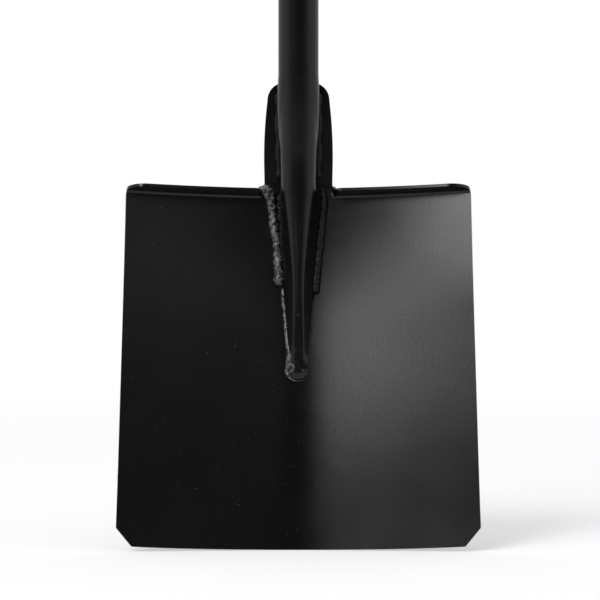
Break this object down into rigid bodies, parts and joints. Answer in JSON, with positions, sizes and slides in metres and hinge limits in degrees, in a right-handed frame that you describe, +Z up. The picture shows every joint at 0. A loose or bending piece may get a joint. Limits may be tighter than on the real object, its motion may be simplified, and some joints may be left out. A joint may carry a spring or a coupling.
{
  "type": "digging spade",
  "caption": "All-steel digging spade: pressed square blade with folded treads and rear tongue, welded tapered tube shaft and moulded D-grip.",
  "frame": {"origin": "middle of the cutting edge, halfway through the sheet's thickness", "axes": "+Z up along the straight part of the shaft, +X to the right seen from the front, -Y forward, the way the blade's hollow face and the treads point"},
  "size_m": [0.2458, 0.0872, 1.1003],
  "materials": {
    "coated_steel": "satin black powder coat",
    "zinc_plated_steel": "zinc plated",
    "moulded_plastic": "fine grained black moulding",
    "soft_sleeve": "matt black soft moulding"
  },
  "bodies": {
    "root": {"blade": "coated_steel", "shaft_tube": "coated_steel", "weld_front_left": "coated_steel", "weld_front_right": "coated_steel", "weld_tip": "coated_steel", "weld_tongue_left": "coated_steel", "weld_tongue_right": "coated_steel", "weld_tongue_top": "coated_steel", "grip_frame": "moulded_plastic", "crossbar_tube": "zinc_plated_steel", "grip_sleeve": "soft_sleeve", "crossbar_rivet": "zinc_plated_steel", "crossbar_washer_left": "zinc_plated_steel", "crossbar_washer_right": "zinc_plated_steel", "collar_washer_front": "zinc_plated_steel", "collar_washer_back": "zinc_plated_steel", "collar_rivet": "zinc_plated_steel", "collar_ring": "soft_sleeve", "shaft_plug": "moulded_plastic"}
  },
  "joints": []
}
